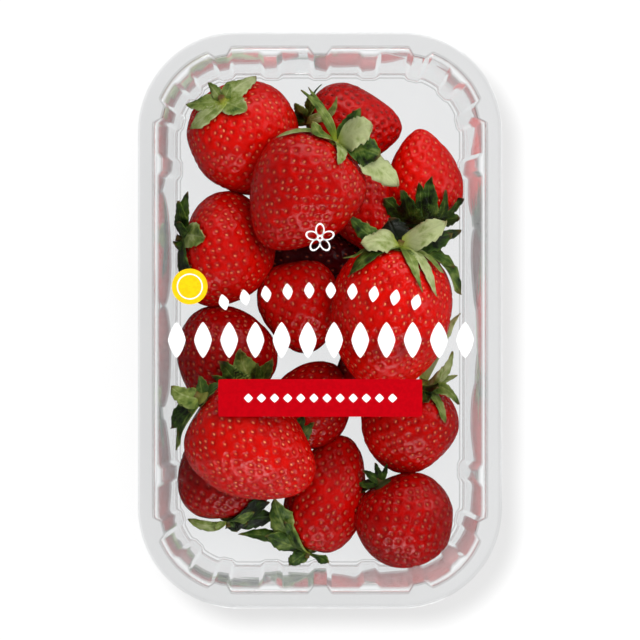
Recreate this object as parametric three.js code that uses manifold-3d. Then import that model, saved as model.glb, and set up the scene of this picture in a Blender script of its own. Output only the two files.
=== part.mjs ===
// A sealed punnet of strawberries: a clear ribbed tray, a clear lid film welded to its rim,
// and the heap of strawberries inside. Millimetres, +Z up, origin in the middle of the base.
// The long side of the tray runs along Y.
import * as THREE from "three";
import { mergeVertices } from "three/addons/utils/BufferGeometryUtils.js";
import Module from "manifold-3d";

// Driving sizes of the pack
const PACK_WIDTH = 120;
const PACK_LENGTH = 190;
const RIM_HEIGHT = 58;
const RIM_FLAT = 5.4;
const CORNER_RADIUS = 33;
const SHEET = 0.6;

// Rim lip, draft of the mouth, shoulder under the rim, side draft and the round at the foot of the
// walls, with the share of that round at which its middle ring lies
const LIP_DROP = 1.6;
const MOUTH_DRAFT = 0.2;
const SHOULDER_DROP = 3;
const SHOULDER_STEP = 1.3;
const DRAFT = 3.4;
const FOOT_ROUND = 3.6;
const FOOT_SHARE = 0.3;

// Upright ribs pressed into the walls: places are measured along the mouth of the tray
// from the middle of each short side, and repeat in all four quarters
const RIB_PLACES = [0, 16.5, 33.2, 48.7, 63.3, 80.9];
const RIB_FLAT = 4.2;
const RIB_SLOPE = 1.8;
const RIB_DEPTH_TOP = 1.15;
const RIB_DEPTH_FOOT = 1.6;
const RIB_DEPTH_ROUND = 1.0;
const CORNER_FILLS = [27, 41, 56, 70.35];

// Lid film
const FILM = 0.3;
const WELD_GAP = 0.05;
const FILM_CORNER_SEGMENTS = 10;

// Clearance of the fruit from the tray and from the film
const CLEARANCE = 0.4;

// Mouth of the tray: the inner edge of the rim
const MOUTH_X = PACK_WIDTH / 2 - RIM_FLAT;
const MOUTH_Y = PACK_LENGTH / 2 - RIM_FLAT;
const MOUTH_RADIUS = CORNER_RADIUS - RIM_FLAT;
const SHORT_HALF = MOUTH_X - MOUTH_RADIUS;
const LONG_HALF = MOUTH_Y - MOUTH_RADIUS;
const CORNER_ARC = (MOUTH_RADIUS * Math.PI) / 2;
const QUARTER = SHORT_HALF + CORNER_ARC + LONG_HALF;

// Level of the shoulder, depth of a tall rib above it, and inset of the foot of the walls
const SHOULDER_Z = RIM_HEIGHT - SHOULDER_DROP;
const JOG = SHOULDER_STEP + RIB_DEPTH_TOP;
const FOOT_INSET = SHOULDER_STEP + DRAFT;

// Fruit. Each berry: its middle, its length, width and thickness, the turn of the tip from +X
// towards +Y and its rise above the level in degrees, its taper towards the tip, and its calyx:
// leaf count, leaf length and how far in degrees the leaves fold over the fruit
const BERRIES = [
  { at: [-25.2, 60.7, 20.5], size: [42, 37, 34], turn: -60, rise: -44, taper: 0.2, calyx: [8, 12, 8] },
  { at: [11.4, 66, 15], size: [33, 28.5, 26.8], turn: -4, rise: -4, taper: 0.34, calyx: [7, 10, 10] },
  { at: [-6.2, 42.3, 38], size: [43, 38.5, 35.4], turn: 234, rise: -5, taper: 0.3, calyx: [9, 14, -14] },
  { at: [-30.8, 23, 19.3], size: [32, 38.5, 34.7], turn: -15, rise: -10, taper: 0.15, calyx: [8, 12, 10] },
  { at: [34.7, 48.9, 15], size: [32, 27, 25.9], turn: 94, rise: 8, taper: 0.4, calyx: [8, 13, -6] },
  { at: [16.1, 36.3, 13.4], size: [33, 26, 24.4], turn: -60, rise: 0, taper: 0.3, calyx: [0, 0, 0] },
  { at: [23.6, 0.9, 36.2], size: [52, 40.5, 37.7], turn: -98, rise: -15, taper: 0.12, calyx: [9, 16, -12] },
  { at: [-6.6, 5, 15.2], size: [33, 28, 25.8], turn: -80, rise: -8, taper: 0.2, calyx: [0, 0, 0] },
  { at: [-32.1, -12.3, 17], size: [34, 33, 29.7], turn: 125, rise: -8, taper: 0.15, calyx: [7, 12, 0] },
  { at: [-22.7, -41.9, 39.2], size: [47, 36.5, 33], turn: -32, rise: -4, taper: 0.22, calyx: [9, 15, -8] },
  { at: [-32.5, -51.1, 15], size: [35, 32, 27.5], turn: 95, rise: 0, taper: 0.22, calyx: [8, 8, 14] },
  { at: [-2.8, -28.4, 14.8], size: [31, 28, 26.3], turn: 60, rise: 0, taper: 0.2, calyx: [7, 9, 4] },
  { at: [29.9, -36.2, 19], size: [33, 33, 29.7], turn: -108, rise: -20, taper: 0.2, calyx: [8, 12, 0] },
  { at: [28.7, -68.7, 16.8], size: [34, 33.5, 29.8], turn: -60, rise: -12, taper: 0.12, calyx: [7, 10, 6] },
  { at: [2.2, -59.4, 13.6], size: [42, 27, 24.8], turn: 72, rise: 0, taper: 0.18, calyx: [8, 11, 0] },
  { at: [30.1, 17.4, 11.2], size: [31, 21, 19.9], turn: 262, rise: 0, taper: 0.3, calyx: [6, 10, 0] },
  { at: [-0.3, 24.7, 9.6], size: [25, 17, 16.6], turn: -10, rise: 0, taper: 0.3, calyx: [0, 0, 0] },
  { at: [19, -16.8, 10.6], size: [28, 19.5, 18.5], turn: -20, rise: 0, taper: 0.3, calyx: [0, 0, 0] },
];

// Pairs of berries that press on each other, joined by a soft spot of juice and flesh
const PRESSED = [
  [0, 2], [2, 3], [2, 5], [1, 2], [1, 4], [4, 15], [4, 5], [3, 7], [6, 7], [6, 15],
  [6, 17], [7, 17], [8, 9], [3, 8], [9, 10], [9, 11], [6, 12], [5, 16],
];
const SPOT_RADIUS = 4.5;

// Facets of the fruit, its hollow at the stem end (share of the length, and width in radians), how
// uneven its section is, and the turn that spreads leaves and uneven places (radians)
const BERRY_RINGS = 8;
const BERRY_SIDES = 12;
const SPOT_SIDES = 6;
const STEM_HOLLOW = 0.045;
const HOLLOW_WIDTH = 0.4;
const BERRY_UNEVEN = 0.03;
const GOLDEN_TURN = 2.4;

// Calyx: rise of the hub over the stem end, depth of its root in the fruit, radius of the notches
// between leaves, lift of the leaves over the fruit, their uneven places, tilts (degrees) and
// lengths (mean and swing as shares), the turns in radians that make lengths and tilts differ, and
// the share of its tilt that a leaf has at its root and gains towards its point
const HUB_RISE = 1.4;
const HUB_ROOT = 1.6;
const VALLEY_RADIUS = 2.6;
const LEAF_LIFT = 0.9;
const LEAF_SHIFT = 0.12;
const LEAF_UNEVEN = 11;
const LEAF_MEAN = 0.9;
const LEAF_SWING = 0.14;
const LENGTH_TURN = 4.08;
const TILT_TURN = 1.3;
const LEAF_BEND_ROOT = 0.4;
const LEAF_BEND_GAIN = 0.9;
const LEAF_THICKNESS = 0.9;

// Sections of a leaf as shares of its length: the root's place, then place and breadth of the
// broad and the narrow section, with the wave of its edges in millimetres
const LEAF_ROOT = 0.16;
const LEAF_SECTIONS = [[0.48, 0.42, 0.4], [0.78, 0.26, -0.4]];

// Point of the mouth line at a distance along it, in the quarter where x and y are positive,
// with the outward direction there
function mouthPoint(distance) {
  if (distance <= SHORT_HALF) return { x: distance, y: MOUTH_Y, nx: 0, ny: 1 };
  if (distance >= SHORT_HALF + CORNER_ARC)
    return { x: MOUTH_X, y: QUARTER - distance, nx: 1, ny: 0 };
  const angle = (distance - SHORT_HALF) / MOUTH_RADIUS;
  const nx = Math.sin(angle);
  const ny = Math.cos(angle);
  return { x: SHORT_HALF + MOUTH_RADIUS * nx, y: LONG_HALF + MOUTH_RADIUS * ny, nx, ny };
}

// Stations along one quarter: rib 0, 2, 4 are tall and cut into the rim edge, 1, 3, 5 are short
function quarterStations() {
  const stations = CORNER_FILLS.map((distance) => ({ distance, tall: 0, short: 0 }));
  RIB_PLACES.forEach((place, index) => {
    const tall = index % 2 === 0 ? 1 : 0;
    const half = RIB_FLAT / 2;
    for (const [step, on] of [[-half - RIB_SLOPE, 0], [-half, 1], [half, 1], [half + RIB_SLOPE, 0]]) {
      if (place + step < 0) continue;
      stations.push({ distance: place + step, tall: on * tall, short: on * (1 - tall) });
    }
  });
  return stations.sort((a, b) => a.distance - b.distance);
}

const STATIONS = quarterStations();

// One closed ring of the tray: inset from the mouth line, height, and the depth of the tall
// and short ribs at this level. The ring runs anticlockwise seen from above.
function ring(inset, z, tallDepth = 0, shortDepth = 0) {
  const quarter = STATIONS.map(({ distance, tall, short }) => {
    const { x, y, nx, ny } = mouthPoint(distance);
    const inwards = inset + tall * tallDepth + short * shortDepth;
    return [x - nx * inwards, y - ny * inwards];
  });
  const back = [...quarter].reverse();
  return [
    ...back.map(([x, y]) => [x, y, z]),
    ...quarter.map(([x, y]) => [-x, y, z]),
    ...back.map(([x, y]) => [-x, -y, z]),
    ...quarter.map(([x, y]) => [x, -y, z]),
  ];
}

// Closed surface through a stack of rings, capped at both ends by fans to a point on the axis.
// The first ring's cap faces up when the rings run from the inside of the tray to the outside.
function stackOfRings(rings) {
  const count = rings[0].length;
  const points = rings.flat();
  const faces = [];
  const first = points.push([0, 0, rings[0][0][2]]) - 1;
  const last = points.push([0, 0, rings[rings.length - 1][0][2]]) - 1;
  for (let i = 0; i < count; i++) {
    const j = (i + 1) % count;
    faces.push(first, i, j);
    for (let row = 0; row < rings.length - 1; row++) {
      const a = row * count;
      const b = a + count;
      faces.push(a + i, b + i, b + j, a + i, b + j, a + j);
    }
    const end = (rings.length - 1) * count;
    faces.push(last, end + j, end + i);
  }
  return indexed(points, faces);
}

function indexed(points, faces) {
  const geometry = new THREE.BufferGeometry();
  geometry.setAttribute("position", new THREE.Float32BufferAttribute(points.flat(), 3));
  geometry.setIndex(faces);
  return geometry;
}

// Levels of the tray's inner face from the mouth down, at an extra inset
function innerLevels(extra, top) {
  const base = SHEET + extra;
  const middle = FOOT_ROUND * FOOT_SHARE;
  return [
    ring(extra, top, JOG, 0),
    ring(extra + MOUTH_DRAFT, SHOULDER_Z + extra, JOG, 0),
    ring(extra + MOUTH_DRAFT + SHOULDER_STEP, SHOULDER_Z + extra, RIB_DEPTH_TOP, RIB_DEPTH_TOP),
    ring(extra + FOOT_INSET, base + FOOT_ROUND, RIB_DEPTH_FOOT, RIB_DEPTH_FOOT),
    ring(extra + FOOT_INSET + middle, base + middle, RIB_DEPTH_ROUND, RIB_DEPTH_ROUND),
    ring(extra + FOOT_INSET + FOOT_ROUND, base),
  ];
}

// Thin thermoformed tray: inner face up to the rim, over the lip, and the outer face down
function trayGeometry() {
  const inner = innerLevels(0, RIM_HEIGHT).reverse();
  const shoulder = SHOULDER_Z - SHEET;
  const middle = FOOT_ROUND * FOOT_SHARE;
  const middleSheet = SHEET * (1 - FOOT_SHARE);
  const rim = [
    ring(-RIM_FLAT, RIM_HEIGHT),
    ring(-RIM_FLAT, RIM_HEIGHT - LIP_DROP),
    ring(-RIM_FLAT + SHEET, RIM_HEIGHT - LIP_DROP),
    ring(-RIM_FLAT + SHEET, RIM_HEIGHT - SHEET),
  ];
  const outer = [
    ring(-SHEET, RIM_HEIGHT - SHEET, JOG, 0),
    ring(MOUTH_DRAFT - SHEET, shoulder, JOG, 0),
    ring(MOUTH_DRAFT + SHOULDER_STEP - SHEET, shoulder, RIB_DEPTH_TOP, RIB_DEPTH_TOP),
    ring(FOOT_INSET - SHEET, SHEET + FOOT_ROUND, RIB_DEPTH_FOOT, RIB_DEPTH_FOOT),
    ring(FOOT_INSET + middle - middleSheet, middle, RIB_DEPTH_ROUND, RIB_DEPTH_ROUND),
    ring(FOOT_INSET + FOOT_ROUND, 0),
  ];
  return stackOfRings([...inner, ...rim, ...outer]);
}

// Flat film, cut to the outline of the rim
function filmGeometry() {
  const x = PACK_WIDTH / 2;
  const y = PACK_LENGTH / 2;
  const r = CORNER_RADIUS;
  const outline = new THREE.Shape();
  outline.moveTo(x - r, -y);
  outline.absarc(x - r, r - y, r, -Math.PI / 2, 0, false);
  outline.absarc(x - r, y - r, r, 0, Math.PI / 2, false);
  outline.absarc(r - x, y - r, r, Math.PI / 2, Math.PI, false);
  outline.absarc(r - x, r - y, r, Math.PI, Math.PI * 1.5, false);
  outline.closePath();
  const plate = new THREE.ExtrudeGeometry(outline, {
    depth: FILM,
    bevelEnabled: false,
    curveSegments: FILM_CORNER_SEGMENTS,
  });
  return plate.translate(0, 0, RIM_HEIGHT + WELD_GAP);
}

// Frame of a berry: its third axis points to the tip, its second is the steepest
function berryFrame({ at, turn, rise }) {
  const azimuth = THREE.MathUtils.degToRad(turn);
  const climb = THREE.MathUtils.degToRad(rise);
  const level = Math.cos(climb);
  const tip = new THREE.Vector3(Math.cos(azimuth) * level, Math.sin(azimuth) * level, Math.sin(climb));
  const side = new THREE.Vector3(0, 0, 1).cross(tip).normalize();
  const up = tip.clone().cross(side);
  return new THREE.Matrix4().makeBasis(side, up, tip).setPosition(...at);
}

// Radius of a berry at an angle from the stem end, over half its width: a sine that swells
// towards the stem end by the taper, scaled so that its largest value is one
function swell(angle, taper) {
  return Math.sin(angle) * (1 + taper * Math.cos(angle));
}

function largestSwell(taper) {
  const cosine = (Math.sqrt(1 + 8 * taper * taper) - 1) / (4 * taper);
  return swell(Math.acos(cosine), taper);
}

// Body of a berry in its own frame, with a shallow hollow where the calyx sits and a slightly
// uneven section
function berryGeometry(berry, index) {
  const [length, width, thickness] = berry.size;
  const scale = width / 2 / largestSwell(berry.taper);
  const points = [[0, 0, stemHeight(berry, 0)]];
  for (let row = 1; row <= BERRY_RINGS; row++) {
    const angle = (row / (BERRY_RINGS + 1)) * Math.PI;
    for (let k = 0; k < BERRY_SIDES; k++) {
      const around = (k / BERRY_SIDES) * Math.PI * 2;
      const uneven = 1 + BERRY_UNEVEN * Math.cos(3 * around + GOLDEN_TURN * index);
      const radius = scale * swell(angle, berry.taper) * uneven;
      points.push([
        radius * Math.cos(around),
        (radius * Math.sin(around) * thickness) / width,
        stemHeight(berry, angle),
      ]);
    }
  }
  const tip = points.push([0, 0, length / 2]) - 1;
  const faces = [];
  for (let k = 0; k < BERRY_SIDES; k++) {
    const next = (k + 1) % BERRY_SIDES;
    faces.push(0, 1 + next, 1 + k);
    for (let row = 0; row < BERRY_RINGS - 1; row++) {
      const a = 1 + row * BERRY_SIDES;
      const b = a + BERRY_SIDES;
      faces.push(a + k, a + next, b + next, a + k, b + next, b + k);
    }
    const end = 1 + (BERRY_RINGS - 1) * BERRY_SIDES;
    faces.push(tip, end + k, end + next);
  }
  return indexed(points, faces);
}

// Height of the surface along the berry's axis at an angle from the stem end
function stemHeight({ size }, angle) {
  const hollow = STEM_HOLLOW * size[0] * Math.exp(-((angle / HOLLOW_WIDTH) ** 2));
  return (-size[0] / 2) * Math.cos(angle) + hollow;
}

// Calyx: one thin wavy star on the stem end. Each leaf has a root, a broad middle and a narrow
// part before its point. The outline is a sharp edge, the points along the middle of a leaf are
// doubled into an outer and an inner one, and both faces are split into triangles alike.
function calyxGeometry(berry, index) {
  const [count, size, fold] = berry.calyx;
  const spacing = (Math.PI * 2) / count;
  const base = stemHeight(berry, 0);
  const points = [[0, 0, base - HUB_RISE], [0, 0, base + HUB_ROOT]];
  const add = (angle, reach, sideways, height) =>
    points.push([
      Math.cos(angle) * reach - Math.sin(angle) * sideways,
      Math.sin(angle) * reach + Math.cos(angle) * sideways,
      height,
    ]) - 1;
  const leaves = Array.from({ length: count }, (_, leaf) => {
    const around = spacing * (leaf + LEAF_SHIFT * Math.sin(GOLDEN_TURN * (leaf + index)));
    const length = size * (LEAF_MEAN + LEAF_SWING * Math.sin(LENGTH_TURN * leaf + index));
    const lean = fold + LEAF_UNEVEN * Math.sin(GOLDEN_TURN * leaf + TILT_TURN * index);
    const spine = (share) => {
      const bend = THREE.MathUtils.degToRad(lean) * (LEAF_BEND_ROOT + LEAF_BEND_GAIN * share);
      return [length * share * Math.cos(bend), base - LEAF_LIFT + length * share * Math.sin(bend)];
    };
    const section = ([share, breadth, wave]) => {
      const [reach, height] = spine(share);
      const half = (breadth * length) / 2;
      return {
        left: add(around, reach, half, height + wave),
        right: add(around, reach, -half, height + wave),
        outer: add(around, reach, 0, height - LEAF_THICKNESS / 2 - wave),
        inner: add(around, reach, 0, height + LEAF_THICKNESS / 2 - wave),
      };
    };
    const [rootReach, rootHeight] = spine(LEAF_ROOT);
    const [tipReach, tipHeight] = spine(1);
    return {
      valley: add(around - spacing / 2, VALLEY_RADIUS, 0, base),
      root: {
        outer: add(around, rootReach, 0, rootHeight - LEAF_THICKNESS / 2),
        inner: add(around, rootReach, 0, base + HUB_ROOT / 2),
      },
      sections: LEAF_SECTIONS.map(section),
      tip: add(around, tipReach, 0, tipHeight),
    };
  });
  const faces = [];
  leaves.forEach(({ valley, root, sections: [broad, narrow], tip }, leaf) => {
    const nextValley = leaves[(leaf + 1) % count].valley;
    for (const side of ["outer", "inner"]) {
      const centre = side === "outer" ? 0 : 1;
      const spread = [
        [centre, root[side], valley], [centre, nextValley, root[side]],
        [root[side], broad.right, valley], [root[side], nextValley, broad.left],
        [root[side], broad[side], broad.right], [root[side], broad.left, broad[side]],
        [broad[side], narrow[side], narrow.right], [broad[side], narrow.right, broad.right],
        [broad[side], narrow.left, narrow[side]], [broad[side], broad.left, narrow.left],
        [narrow[side], tip, narrow.right], [narrow[side], narrow.left, tip],
      ];
      for (const [p, q, r] of spread) faces.push(...(side === "outer" ? [p, q, r] : [p, r, q]));
    }
  });
  return indexed(points, faces);
}

// Soft spot between two berries that press on each other, on the line between their middles
function spotGeometry(first, second) {
  const a = new THREE.Vector3(...BERRIES[first].at);
  const b = new THREE.Vector3(...BERRIES[second].at);
  const share = BERRIES[first].size[1] / (BERRIES[first].size[1] + BERRIES[second].size[1]);
  const at = a.lerp(b, share);
  const ball = new THREE.SphereGeometry(SPOT_RADIUS, SPOT_SIDES, SPOT_SIDES - 2);
  return ball.translate(at.x, at.y, at.z);
}

const wasm = await Module();
wasm.setup();

// Closed geometry as a solid, and back as a geometry
function toSolid(geometry) {
  const bare = geometry.clone();
  bare.deleteAttribute("normal");
  bare.deleteAttribute("uv");
  const merged = mergeVertices(bare, 1e-3);
  return new wasm.Manifold(
    new wasm.Mesh({
      numProp: 3,
      vertProperties: new Float32Array(merged.attributes.position.array),
      triVerts: new Uint32Array(merged.index.array),
    }),
  );
}

function toGeometry(solid) {
  const mesh = solid.getMesh();
  const geometry = new THREE.BufferGeometry();
  geometry.setAttribute("position", new THREE.Float32BufferAttribute(mesh.vertProperties, 3));
  geometry.setIndex(Array.from(mesh.triVerts));
  return geometry;
}

// Largest closed shell of a solid: air sealed between the pieces is filled, and a leaf tip that
// was cut loose is dropped. Points closer than a micron become one between the rounds, which can
// pinch off another shell, so it goes on until one is left.
function outerShell(solid) {
  let shells = solid.decompose();
  do {
    const largest = shells.reduce((best, shell) => (shell.volume() > best.volume() ? shell : best));
    shells = toSolid(toGeometry(largest)).decompose();
  } while (shells.length > 1);
  return shells[0];
}

// The heap: every berry with its calyx, the pressed spots between them, kept clear of the tray
// and the film
function heapGeometry() {
  let heap = null;
  const join = (geometry) => {
    const piece = toSolid(geometry);
    heap = heap ? heap.add(piece) : piece;
  };
  BERRIES.forEach((berry, index) => {
    const frame = berryFrame(berry);
    join(berryGeometry(berry, index).applyMatrix4(frame));
    if (berry.calyx[0] > 0) join(calyxGeometry(berry, index).applyMatrix4(frame));
  });
  for (const [first, second] of PRESSED) join(spotGeometry(first, second));
  const cavity = toSolid(stackOfRings(innerLevels(CLEARANCE, RIM_HEIGHT + WELD_GAP - CLEARANCE)));
  return toGeometry(outerShell(heap.intersect(cavity)));
}

// Materials as they look
const clearSheet = new THREE.MeshStandardMaterial({
  color: 0xe6eaec, roughness: 0.12, metalness: 0, transparent: true, opacity: 0.3,
});
const clearFilm = new THREE.MeshStandardMaterial({
  color: 0xf2f4f5, roughness: 0.08, metalness: 0, transparent: true, opacity: 0.15,
});
const redFlesh = new THREE.MeshStandardMaterial({ color: 0xb40d0e, roughness: 0.35, metalness: 0 });

function named(name, geometry, material) {
  const mesh = new THREE.Mesh(geometry, material);
  mesh.name = name;
  return mesh;
}

const punnet = new THREE.Group();
punnet.add(named("tray", trayGeometry(), clearSheet));
punnet.add(named("lid_film", filmGeometry(), clearFilm));
punnet.add(named("strawberries", heapGeometry(), redFlesh));

export default punnet;
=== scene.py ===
"""A sealed punnet of strawberries: clear ribbed tray, printed film lid and the fruit inside.
Sizes are in millimetres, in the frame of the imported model, and meshes are made in metres."""

import bpy
import numpy as np
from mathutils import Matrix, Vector


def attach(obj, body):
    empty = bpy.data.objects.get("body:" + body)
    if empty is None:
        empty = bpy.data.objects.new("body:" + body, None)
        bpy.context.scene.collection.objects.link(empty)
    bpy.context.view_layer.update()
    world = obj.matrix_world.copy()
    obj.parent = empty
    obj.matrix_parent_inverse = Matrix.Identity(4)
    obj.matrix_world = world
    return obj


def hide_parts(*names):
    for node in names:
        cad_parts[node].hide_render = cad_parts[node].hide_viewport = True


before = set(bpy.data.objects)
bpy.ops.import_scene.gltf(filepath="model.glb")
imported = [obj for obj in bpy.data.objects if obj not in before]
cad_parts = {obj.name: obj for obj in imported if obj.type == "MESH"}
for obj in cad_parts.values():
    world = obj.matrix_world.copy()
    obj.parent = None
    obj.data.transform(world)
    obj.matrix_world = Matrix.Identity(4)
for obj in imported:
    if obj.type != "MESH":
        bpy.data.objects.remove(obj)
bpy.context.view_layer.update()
MM = 0.001

# Camera straight above the pack, 1.5 m over the rim, so that the walls show only a sliver.
# The rim's 120 mm span the columns named here in the photo's 640 pixels. The photo cuts off the
# lower end of the pack, so the view is slightly wider and shows the pack whole.
PHOTO_WIDTH = 640
VIEW_SHARE = 0.93
RIM_LEFT, RIM_RIGHT = 124.0, 515.5
CENTRE_ROW = 358.0
PACK_WIDTH, PACK_LENGTH, RIM_HEIGHT = 120.0, 190.0, 58.0
CAMERA_RISE = 1500.0
SENSOR = 36.0

pixel = PACK_WIDTH / (RIM_RIGHT - RIM_LEFT)
camera_data = bpy.data.cameras.new("camera")
camera_data.sensor_width = SENSOR
camera_data.lens = SENSOR * CAMERA_RISE * VIEW_SHARE / (PHOTO_WIDTH * pixel)
camera = bpy.data.objects.new("camera", camera_data)
camera.location = np.array([0, 0, RIM_HEIGHT + CAMERA_RISE]) * MM
bpy.context.scene.collection.objects.link(camera)
bpy.context.scene.camera = camera
bpy.context.scene.view_settings.view_transform = "Standard"


# Studio: a white light table, a pale surround that is brighter overhead, a wide soft sun from the
# upper right, and three soft boxes. The table glows, so that the clear base stays nearly as white
# between the berries as outside the pack. A soft shadow of the pack to the lower right and a faint
# shade under the pack are painted into the table's glow.
class Wire:
    """A socket of a node tree. Arithmetic on it adds Math nodes, node() adds any other node."""

    def __init__(self, tree, socket=None):
        self.tree = tree
        self.socket = socket

    def node(self, kind, settings=None, sockets=None, output=0):
        """A node of that kind, with its settings first, then values or wires on its sockets."""
        made = self.tree.nodes.new(kind)
        for key, value in (settings or {}).items():
            if key == "stops":
                while len(made.color_ramp.elements) < len(value):
                    made.color_ramp.elements.new(1.0)
                for element, (place, colour) in zip(made.color_ramp.elements, value):
                    element.position = place
                    element.color = colour
            else:
                setattr(made, key, value)
        for key, value in (sockets or {}).items():
            if isinstance(value, Wire):
                self.tree.links.new(value.socket, made.inputs[key])
            else:
                made.inputs[key].default_value = value
        return Wire(self.tree, made.outputs[output]) if made.outputs else None

    def math(self, operation, first, second=0.0):
        return self.node("ShaderNodeMath", {"operation": operation}, {0: first, 1: second})

    def mix(self, share, first, second):
        """Colour between first, at share 0, and second, at share 1."""
        sockets = {0: share, 6: first, 7: second}
        return self.node("ShaderNodeMix", {"data_type": "RGBA"}, sockets, output=2)

    def attribute(self, name):
        """The number that the mesh keeps at each point under that name."""
        return self.node("ShaderNodeAttribute", {"attribute_name": name}, {}, output=2)

    def own_place(self):
        """Place on the piece itself, in metres."""
        return self.node("ShaderNodeTexCoord", {}, {}, output=3)

    def noise(self, place, scale, detail):
        """Grain between 0 and 1, with that many waves a metre."""
        return self.node("ShaderNodeTexNoise", {}, {"Vector": place, "Scale": scale, "Detail": detail})

    def principled(self, sockets):
        return self.node("ShaderNodeBsdfPrincipled", {}, sockets)

    def bump(self, strength, distance, height):
        sockets = {"Strength": strength, "Distance": distance, "Height": height}
        return self.node("ShaderNodeBump", {}, sockets)

    def clear(self, red, green, blue):
        """Clear sheet, with the share of each colour that it lets through."""
        return self.node("ShaderNodeBsdfTransparent", {}, {"Color": (red, green, blue, 1)})

    def blend(self, share, first, second):
        """Shader between first, at share 0, and second, at share 1."""
        return self.node("ShaderNodeMixShader", {}, {0: share, 1: first, 2: second})

    def finish(self, skin):
        self.node("ShaderNodeOutputMaterial", {}, {"Surface": skin})

    def rise(self, low, high):
        """Smooth step from 0, where this wire is at low or under, to 1 at high."""
        sockets = {"Value": self, "From Min": low, "From Max": high}
        return self.node("ShaderNodeMapRange", {"interpolation_type": "SMOOTHSTEP"}, sockets)

    def __add__(self, other):
        return self.math("ADD", self, other)

    def __radd__(self, other):
        return self.math("ADD", other, self)

    def __sub__(self, other):
        return self.math("SUBTRACT", self, other)

    def __rsub__(self, other):
        return self.math("SUBTRACT", other, self)

    def __mul__(self, other):
        return self.math("MULTIPLY", self, other)

    def __pow__(self, other):
        return self.math("POWER", self, other)


def srgb(red, green, blue):
    """Linear colour of a display colour given in 0 to 255."""
    share = np.array([red, green, blue]) / 255
    linear = np.where(share <= 0.04045, share / 12.92, ((share + 0.055) / 1.055) ** 2.4)
    return (*linear.tolist(), 1.0)


def new_material(name):
    """An empty node material, as the wire that its nodes are added with."""
    material = bpy.data.materials.new(name)
    material.use_nodes = True
    material.node_tree.nodes.clear()
    return material, Wire(material.node_tree)


def mesh_object(name, points, faces, material, smooth=True, attributes=None):
    """Mesh from points in millimetres and a list of face arrays, each with its corner count."""
    corners = np.concatenate([part.ravel() for part in faces]).astype(np.int32)
    counts = np.concatenate([np.full(len(part), part.shape[1]) for part in faces])
    starts = np.concatenate([[0], np.cumsum(counts)[:-1]]).astype(np.int32)
    mesh = bpy.data.meshes.new(name)
    mesh.vertices.add(len(points))
    mesh.vertices.foreach_set("co", (points * MM).astype(np.float32).ravel())
    mesh.loops.add(len(corners))
    mesh.loops.foreach_set("vertex_index", corners)
    mesh.polygons.add(len(counts))
    mesh.polygons.foreach_set("loop_start", starts)
    mesh.polygons.foreach_set("use_smooth", np.full(len(counts), smooth))
    for key, values in (attributes or {}).items():
        layer = mesh.attributes.new(key, "FLOAT", "POINT")
        layer.data.foreach_set("value", np.broadcast_to(values, len(points)).astype(np.float32))
    mesh.update(calc_edges=True)
    mesh.validate()
    mesh.materials.append(material)
    made = bpy.data.objects.new(name, mesh)
    bpy.context.scene.collection.objects.link(made)
    return made


def grid_faces(rows, columns, wrap=False):
    """Quads of a grid of rows times columns points; with wrap the last column meets the first."""
    row, column = np.meshgrid(
        np.arange(rows - 1), np.arange(columns if wrap else columns - 1), indexing="ij"
    )
    following = (column + 1) % columns
    quads = [row * columns + column, row * columns + following,
             (row + 1) * columns + following, (row + 1) * columns + column]
    return np.stack(quads, axis=-1).reshape(-1, 4)


def fan_faces(centre, ring, flip=False):
    """Triangles from a middle point to a closed ring of points."""
    following = np.roll(ring, -1)
    second, third = (following, ring) if flip else (ring, following)
    return np.stack([np.full(len(ring), centre), second, third], axis=-1)


FLOOR_HALF = 3000.0
TABLE_WHITE = 0.12
TABLE_BOUNCE = 0.18
TABLE_GLOW = 0.9
CORNER_RADIUS = 33.0
OUTLINE_SCALE = 1.035
PAINTED_SHADOW_SHIFT = (6.0, -6.0)
PAINTED_SHADOW_SPREAD = 5.0
PAINTED_SHADOW_DEPTH = 0.29
PAINTED_UNDER_SHADE = 0.06
SURROUND_LOW, SURROUND_HIGH = 0.18, 0.54
MIRRORED_LOW, MIRRORED_HIGH = 0.8, 0.2
SHEEN_LEVEL = 0.03
KEY_STRENGTH = 1.78
KEY_WIDTH = 0.7
KEY_TURN = (-18.0, 20.0, 0.0)
SOFT_BOXES = [
    ((0.12, 0.62, 0.3), (0.6, 0.3), 1.9),
    ((0.64, 0.16, 0.3), (0.5, 0.25), 1.2),
    ((0.05, -0.62, 0.32), (0.5, 0.3), 2.4),
]

light_table, paper = new_material("light_table")
camera_ray = paper.node("ShaderNodeLightPath")
mirror_ray = paper.node("ShaderNodeLightPath", {}, {}, output=4)
seen = paper.math("MAXIMUM", camera_ray, mirror_ray)
grain = paper.node("ShaderNodeTexNoise", {}, {"Scale": 400.0, "Detail": 3.0})
fibres = paper.mix(grain, (0.98, 0.98, 0.98, 1), (1, 1, 1, 1))
table_place = paper.own_place()


def from_outline(shift):
    """Distance on the table, in metres, from the pack's outline moved by the shift: that of a
    rectangle with round corners, less than 0 inside."""
    beyond = []
    for axis, side in enumerate((PACK_WIDTH, PACK_LENGTH)):
        place = paper.node("ShaderNodeSeparateXYZ", {}, {"Vector": table_place}, output=axis)
        from_middle = paper.math("ABSOLUTE", place - shift[axis] * MM)
        straight = (side / 2 - CORNER_RADIUS) * OUTLINE_SCALE * MM
        beyond.append(paper.math("MAXIMUM", from_middle - straight, 0.0))
    return (beyond[0] ** 2 + beyond[1] ** 2) ** 0.5 - CORNER_RADIUS * OUTLINE_SCALE * MM


# Painted shadow: the glow dims in a soft band round the pack, moved to the lower right, and a little
# under it.
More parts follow.
